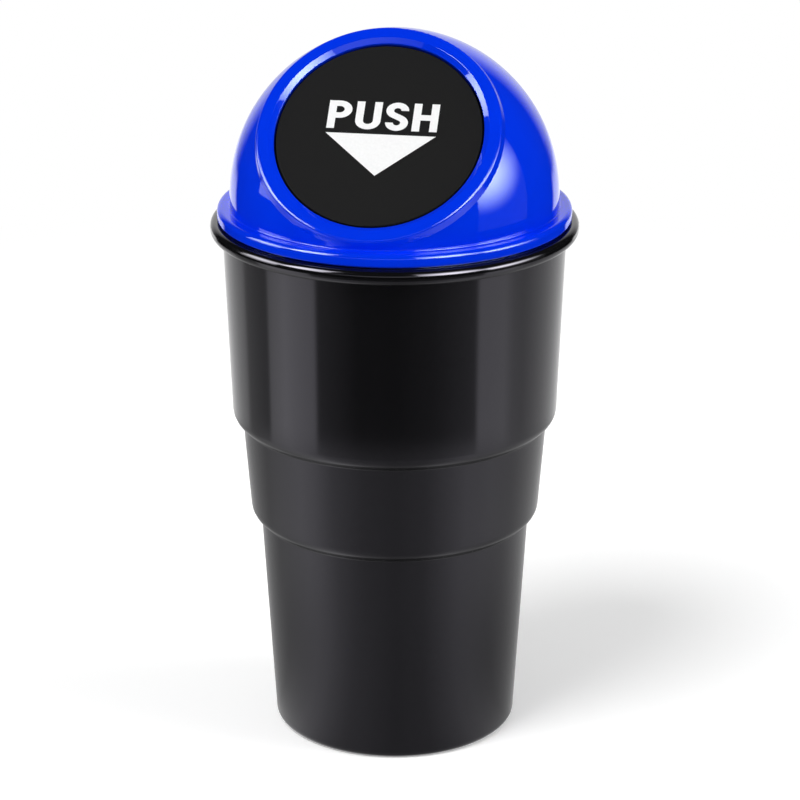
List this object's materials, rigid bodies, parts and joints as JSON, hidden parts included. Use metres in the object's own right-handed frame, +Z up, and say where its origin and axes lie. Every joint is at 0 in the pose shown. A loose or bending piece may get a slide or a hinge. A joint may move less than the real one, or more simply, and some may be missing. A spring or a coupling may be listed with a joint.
{
  "type": "car trash bin",
  "caption": "Stepped, tapered cup for a car's cup holder with a lift-off dome lid and a sprung round flap that is pushed inwards to drop waste in.",
  "frame": {"origin": "middle of the foot ring, on the surface that the bin stands on", "axes": "+Z up along the cup, -Y out of the front where the flap is, +X to the right seen from behind the flap's hinge line with +Z up and the flap facing away from +Y"},
  "size_m": [0.0906, 0.0906, 0.1796],
  "materials": {
    "cup_plastic": "moulded black polypropylene, semi-gloss",
    "lid_plastic": "moulded royal blue ABS, high gloss",
    "flap_plastic": "moulded black ABS, fine matte",
    "hinge_steel": "bright drawn steel"
  },
  "bodies": {
    "cup": {"cup": "cup_plastic"},
    "lid": {"lid_dome": "lid_plastic", "hinge_pin": "hinge_steel", "torsion_spring": "hinge_steel"},
    "flap": {"flap": "flap_plastic"}
  },
  "joints": [
    {"name": "lid_lift", "type": "slide", "parent": "cup", "child": "lid", "axis": [0, 0, 1], "range_m": [0, 0.04]},
    {"name": "flap_hinge", "type": "hinge", "parent": "lid", "child": "flap", "pos_m": [0, -0.00183, 0.17003], "axis": [1, 0, 0], "range_deg": [0, 70], "stiffness_Nm_per_rad": 0.02, "springref_deg": -51.57, "deforming": ["torsion_spring"]}
  ]
}
